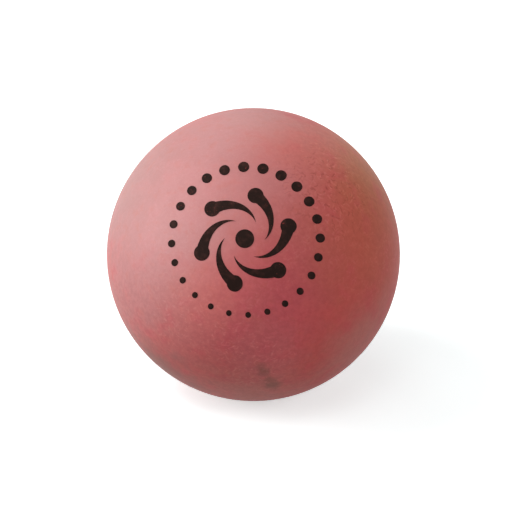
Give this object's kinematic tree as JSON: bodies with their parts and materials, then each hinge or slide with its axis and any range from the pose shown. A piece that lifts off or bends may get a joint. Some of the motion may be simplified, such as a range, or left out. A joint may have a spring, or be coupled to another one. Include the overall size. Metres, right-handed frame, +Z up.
{
  "type": "bouncy ball",
  "caption": "Hollow pink rubber bouncy ball with a cemented seam, a plugged needle hole and a printed whirl in a ring of dots.",
  "frame": {"origin": "centre of the ball, which is also the centre of its bounding box", "axes": "+Z up as the ball lies, so that it rests at its -Z end; the printed cup's axis points to -Y and 34 degrees upwards, and +X is to the right of somebody who looks at the print"},
  "size_m": [0.0634, 0.0634, 0.0634],
  "materials": {
    "pink_rubber": "matte, buffed, slightly powdery",
    "cement": "cured rubber cement, dull",
    "gum_rubber": "soft uncured gum rubber, dull",
    "ink": "flat black stamping ink, slightly worn"
  },
  "bodies": {
    "root": {"front_shell": "pink_rubber", "rear_shell": "pink_rubber", "seam_cement": "cement", "inflation_plug": "gum_rubber", "needle_hole_seal": "cement", "printed_mark": "ink"}
  },
  "joints": []
}
